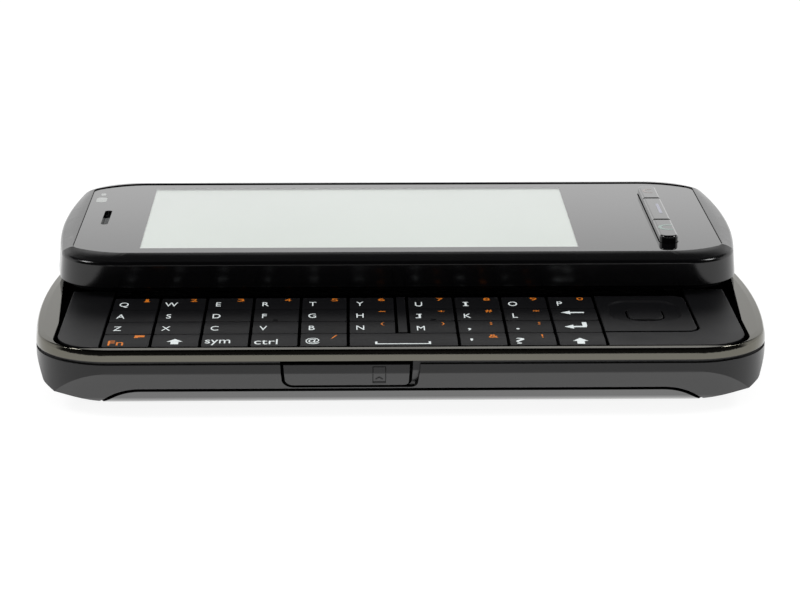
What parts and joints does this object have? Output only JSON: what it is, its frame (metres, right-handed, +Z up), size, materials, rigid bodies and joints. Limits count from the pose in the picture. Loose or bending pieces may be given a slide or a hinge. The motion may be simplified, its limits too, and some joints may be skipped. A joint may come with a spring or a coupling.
{
  "type": "slider phone",
  "caption": "Side-slider touch phone, screen half slid open above a letter keyboard, with working keys, rocker, card door and lift-off battery cover.",
  "frame": {"origin": "middle of the base's flat underside, on the surface that the phone lies on", "axes": "+X along the length toward the call, menu and end keys, +Y the way the slide opens, +Z up out of the screen"},
  "size_m": [0.1134, 0.082, 0.0181],
  "materials": {
    "housing": "satin black moulded polycarbonate",
    "trim": "dark gunmetal metallised trim",
    "keypad": "semi-gloss black polycarbonate",
    "cover": "satin dark grey painted plastic",
    "battery": "wrapped cell, grey film",
    "board": "solder-masked circuit board and tinned cans",
    "camera": "gloss black lens barrel",
    "side_keys": "semi-gloss black",
    "steel": "pressed stainless steel",
    "carriage": "black anodised aluminium",
    "slide_shell": "satin black lacquered plastic",
    "window": "polished black-bordered touch window",
    "display": "lit display panel",
    "bar_keys": "gloss black",
    "key_caps": "semi-gloss black polycarbonate"
  },
  "bodies": {
    "base": {"lower_housing": "housing", "rim_trim": "trim", "keypad_plate": "keypad", "battery": "battery", "main_board": "board", "camera_module": "camera", "slide_rail_plate": "steel"},
    "slide": {"slide_carriage": "carriage", "slide_housing": "slide_shell", "touch_window": "window", "display_module": "display"},
    "back_cover": {"battery_cover": "cover"},
    "card_door": {"memory_card_door": "housing"},
    "volume": {"volume_rocker": "side_keys"},
    "shutter": {"camera_key": "side_keys"},
    "power": {"power_key": "side_keys"},
    "nav_pad": {"dpad_ring": "keypad"},
    "nav_select": {"select_key": "keypad"},
    "call": {"call_key": "bar_keys"},
    "menu": {"menu_key": "bar_keys"},
    "end": {"end_key": "bar_keys"},
    "key_q": {"key_q": "key_caps"},
    "key_w": {"key_w": "key_caps"},
    "key_e": {"key_e": "key_caps"},
    "key_r": {"key_r": "key_caps"},
    "key_t": {"key_t": "key_caps"},
    "key_y": {"key_y": "key_caps"},
    "key_u": {"key_u": "key_caps"},
    "key_i": {"key_i": "key_caps"},
    "key_o": {"key_o": "key_caps"},
    "key_p": {"key_p": "key_caps"},
    "key_a": {"key_a": "key_caps"},
    "key_s": {"key_s": "key_caps"},
    "key_d": {"key_d": "key_caps"},
    "key_f": {"key_f": "key_caps"},
    "key_g": {"key_g": "key_caps"},
    "key_h": {"key_h": "key_caps"},
    "key_j": {"key_j": "key_caps"},
    "key_k": {"key_k": "key_caps"},
    "key_l": {"key_l": "key_caps"},
    "key_backspace": {"key_backspace": "key_caps"},
    "key_z": {"key_z": "key_caps"},
    "key_x": {"key_x": "key_caps"},
    "key_c": {"key_c": "key_caps"},
    "key_v": {"key_v": "key_caps"},
    "key_b": {"key_b": "key_caps"},
    "key_n": {"key_n": "key_caps"},
    "key_m": {"key_m": "key_caps"},
    "key_comma": {"key_comma": "key_caps"},
    "key_period": {"key_period": "key_caps"},
    "key_enter": {"key_enter": "key_caps"},
    "key_fn": {"key_fn": "key_caps"},
    "key_shift_left": {"key_shift_left": "key_caps"},
    "key_sym": {"key_sym": "key_caps"},
    "key_ctrl": {"key_ctrl": "key_caps"},
    "key_at": {"key_at": "key_caps"},
    "key_space": {"key_space": "key_caps"},
    "key_apostrophe": {"key_apostrophe": "key_caps"},
    "key_question": {"key_question": "key_caps"},
    "key_shift_right": {"key_shift_right": "key_caps"}
  },
  "joints": [
    {"name": "slide_open", "type": "slide", "parent": "base", "child": "slide", "axis": [0, 1, 0], "range_m": [-0.029, 0]},
    {"name": "cover_lift_off", "type": "slide", "parent": "base", "child": "back_cover", "axis": [0, 0, -1], "range_m": [0, 0.006]},
    {"name": "card_door_swing", "type": "hinge", "parent": "base", "child": "card_door", "pos_m": [-0.01785, -0.0265, 0.0062], "axis": [0, 0, -1], "range_deg": [0, 95]},
    {"name": "volume_rock", "type": "hinge", "parent": "base", "child": "volume", "pos_m": [-0.016, 0.0254, 0.00625], "axis": [0, 0, 1], "range_deg": [-1.2, 1.2], "stiffness_Nm_per_rad": 0.02},
    {"name": "shutter_press", "type": "slide", "parent": "base", "child": "shutter", "axis": [0, -1, 0], "range_m": [0, 0.0004], "stiffness_N_per_m": 300},
    {"name": "power_press", "type": "slide", "parent": "base", "child": "power", "axis": [1, 0, 0], "range_m": [0, 0.0004], "stiffness_N_per_m": 300},
    {"name": "nav_pad_rock", "type": "hinge", "parent": "base", "child": "nav_pad", "pos_m": [0.03816, -0.00755, 0.0095], "axis": [1, 0, 0], "range_deg": [-1.5, 1.5], "stiffness_Nm_per_rad": 0.02},
    {"name": "nav_select_press", "type": "slide", "parent": "base", "child": "nav_select", "axis": [0, 0, -1], "range_m": [0, 0.0003], "stiffness_N_per_m": 300},
    {"name": "call_press", "type": "slide", "parent": "slide", "child": "call", "axis": [0, 0, -1], "range_m": [0, 0.0003], "stiffness_N_per_m": 300},
    {"name": "menu_press", "type": "slide", "parent": "slide", "child": "menu", "axis": [0, 0, -1], "range_m": [0, 0.0003], "stiffness_N_per_m": 300},
    {"name": "end_press", "type": "slide", "parent": "slide", "child": "end", "axis": [0, 0, -1], "range_m": [0, 0.0003], "stiffness_N_per_m": 300},
    {"name": "key_q_press", "type": "slide", "parent": "base", "child": "key_q", "axis": [0, 0, -1], "range_m": [0, 0.0003], "stiffness_N_per_m": 300},
    {"name": "key_w_press", "type": "slide", "parent": "base", "child": "key_w", "axis": [0, 0, -1], "range_m": [0, 0.0003], "stiffness_N_per_m": 300},
    {"name": "key_e_press", "type": "slide", "parent": "base", "child": "key_e", "axis": [0, 0, -1], "range_m": [0, 0.0003], "stiffness_N_per_m": 300},
    {"name": "key_r_press", "type": "slide", "parent": "base", "child": "key_r", "axis": [0, 0, -1], "range_m": [0, 0.0003], "stiffness_N_per_m": 300},
    {"name": "key_t_press", "type": "slide", "parent": "base", "child": "key_t", "axis": [0, 0, -1], "range_m": [0, 0.0003], "stiffness_N_per_m": 300},
    {"name": "key_y_press", "type": "slide", "parent": "base", "child": "key_y", "axis": [0, 0, -1], "range_m": [0, 0.0003], "stiffness_N_per_m": 300},
    {"name": "key_u_press", "type": "slide", "parent": "base", "child": "key_u", "axis": [0, 0, -1], "range_m": [0, 0.0003], "stiffness_N_per_m": 300},
    {"name": "key_i_press", "type": "slide", "parent": "base", "child": "key_i", "axis": [0, 0, -1], "range_m": [0, 0.0003], "stiffness_N_per_m": 300},
    {"name": "key_o_press", "type": "slide", "parent": "base", "child": "key_o", "axis": [0, 0, -1], "range_m": [0, 0.0003], "stiffness_N_per_m": 300},
    {"name": "key_p_press", "type": "slide", "parent": "base", "child": "key_p", "axis": [0, 0, -1], "range_m": [0, 0.0003], "stiffness_N_per_m": 300},
    {"name": "key_a_press", "type": "slide", "parent": "base", "child": "key_a", "axis": [0, 0, -1], "range_m": [0, 0.0003], "stiffness_N_per_m": 300},
    {"name": "key_s_press", "type": "slide", "parent": "base", "child": "key_s", "axis": [0, 0, -1], "range_m": [0, 0.0003], "stiffness_N_per_m": 300},
    {"name": "key_d_press", "type": "slide", "parent": "base", "child": "key_d", "axis": [0, 0, -1], "range_m": [0, 0.0003], "stiffness_N_per_m": 300},
    {"name": "key_f_press", "type": "slide", "parent": "base", "child": "key_f", "axis": [0, 0, -1], "range_m": [0, 0.0003], "stiffness_N_per_m": 300},
    {"name": "key_g_press", "type": "slide", "parent": "base", "child": "key_g", "axis": [0, 0, -1], "range_m": [0, 0.0003], "stiffness_N_per_m": 300},
    {"name": "key_h_press", "type": "slide", "parent": "base", "child": "key_h", "axis": [0, 0, -1], "range_m": [0, 0.0003], "stiffness_N_per_m": 300},
    {"name": "key_j_press", "type": "slide", "parent": "base", "child": "key_j", "axis": [0, 0, -1], "range_m": [0, 0.0003], "stiffness_N_per_m": 300},
    {"name": "key_k_press", "type": "slide", "parent": "base", "child": "key_k", "axis": [0, 0, -1], "range_m": [0, 0.0003], "stiffness_N_per_m": 300},
    {"name": "key_l_press", "type": "slide", "parent": "base", "child": "key_l", "axis": [0, 0, -1], "range_m": [0, 0.0003], "stiffness_N_per_m": 300},
    {"name": "key_backspace_press", "type": "slide", "parent": "base", "child": "key_backspace", "axis": [0, 0, -1], "range_m": [0, 0.0003], "stiffness_N_per_m": 300},
    {"name": "key_z_press", "type": "slide", "parent": "base", "child": "key_z", "axis": [0, 0, -1], "range_m": [0, 0.0003], "stiffness_N_per_m": 300},
    {"name": "key_x_press", "type": "slide", "parent": "base", "child": "key_x", "axis": [0, 0, -1], "range_m": [0, 0.0003], "stiffness_N_per_m": 300},
    {"name": "key_c_press", "type": "slide", "parent": "base", "child": "key_c", "axis": [0, 0, -1], "range_m": [0, 0.0003], "stiffness_N_per_m": 300},
    {"name": "key_v_press", "type": "slide", "parent": "base", "child": "key_v", "axis": [0, 0, -1], "range_m": [0, 0.0003], "stiffness_N_per_m": 300},
    {"name": "key_b_press", "type": "slide", "parent": "base", "child": "key_b", "axis": [0, 0, -1], "range_m": [0, 0.0003], "stiffness_N_per_m": 300},
    {"name": "key_n_press", "type": "slide", "parent": "base", "child": "key_n", "axis": [0, 0, -1], "range_m": [0, 0.0003], "stiffness_N_per_m": 300},
    {"name": "key_m_press", "type": "slide", "parent": "base", "child": "key_m", "axis": [0, 0, -1], "range_m": [0, 0.0003], "stiffness_N_per_m": 300},
    {"name": "key_comma_press", "type": "slide", "parent": "base", "child": "key_comma", "axis": [0, 0, -1], "range_m": [0, 0.0003], "stiffness_N_per_m": 300},
    {"name": "key_period_press", "type": "slide", "parent": "base", "child": "key_period", "axis": [0, 0, -1], "range_m": [0, 0.0003], "stiffness_N_per_m": 300},
    {"name": "key_enter_press", "type": "slide", "parent": "base", "child": "key_enter", "axis": [0, 0, -1], "range_m": [0, 0.0003], "stiffness_N_per_m": 300},
    {"name": "key_fn_press", "type": "slide", "parent": "base", "child": "key_fn", "axis": [0, 0, -1], "range_m": [0, 0.0003], "stiffness_N_per_m": 300},
    {"name": "key_shift_left_press", "type": "slide", "parent": "base", "child": "key_shift_left", "axis": [0, 0, -1], "range_m": [0, 0.0003], "stiffness_N_per_m": 300},
    {"name": "key_sym_press", "type": "slide", "parent": "base", "child": "key_sym", "axis": [0, 0, -1], "range_m": [0, 0.0003], "stiffness_N_per_m": 300},
    {"name": "key_ctrl_press", "type": "slide", "parent": "base", "child": "key_ctrl", "axis": [0, 0, -1], "range_m": [0, 0.0003], "stiffness_N_per_m": 300},
    {"name": "key_at_press", "type": "slide", "parent": "base", "child": "key_at", "axis": [0, 0, -1], "range_m": [0, 0.0003], "stiffness_N_per_m": 300},
    {"name": "key_space_press", "type": "slide", "parent": "base", "child": "key_space", "axis": [0, 0, -1], "range_m": [0, 0.0003], "stiffness_N_per_m": 300},
    {"name": "key_apostrophe_press", "type": "slide", "parent": "base", "child": "key_apostrophe", "axis": [0, 0, -1], "range_m": [0, 0.0003], "stiffness_N_per_m": 300},
    {"name": "key_question_press", "type": "slide", "parent": "base", "child": "key_question", "axis": [0, 0, -1], "range_m": [0, 0.0003], "stiffness_N_per_m": 300},
    {"name": "key_shift_right_press", "type": "slide", "parent": "base", "child": "key_shift_right", "axis": [0, 0, -1], "range_m": [0, 0.0003], "stiffness_N_per_m": 300}
  ]
}
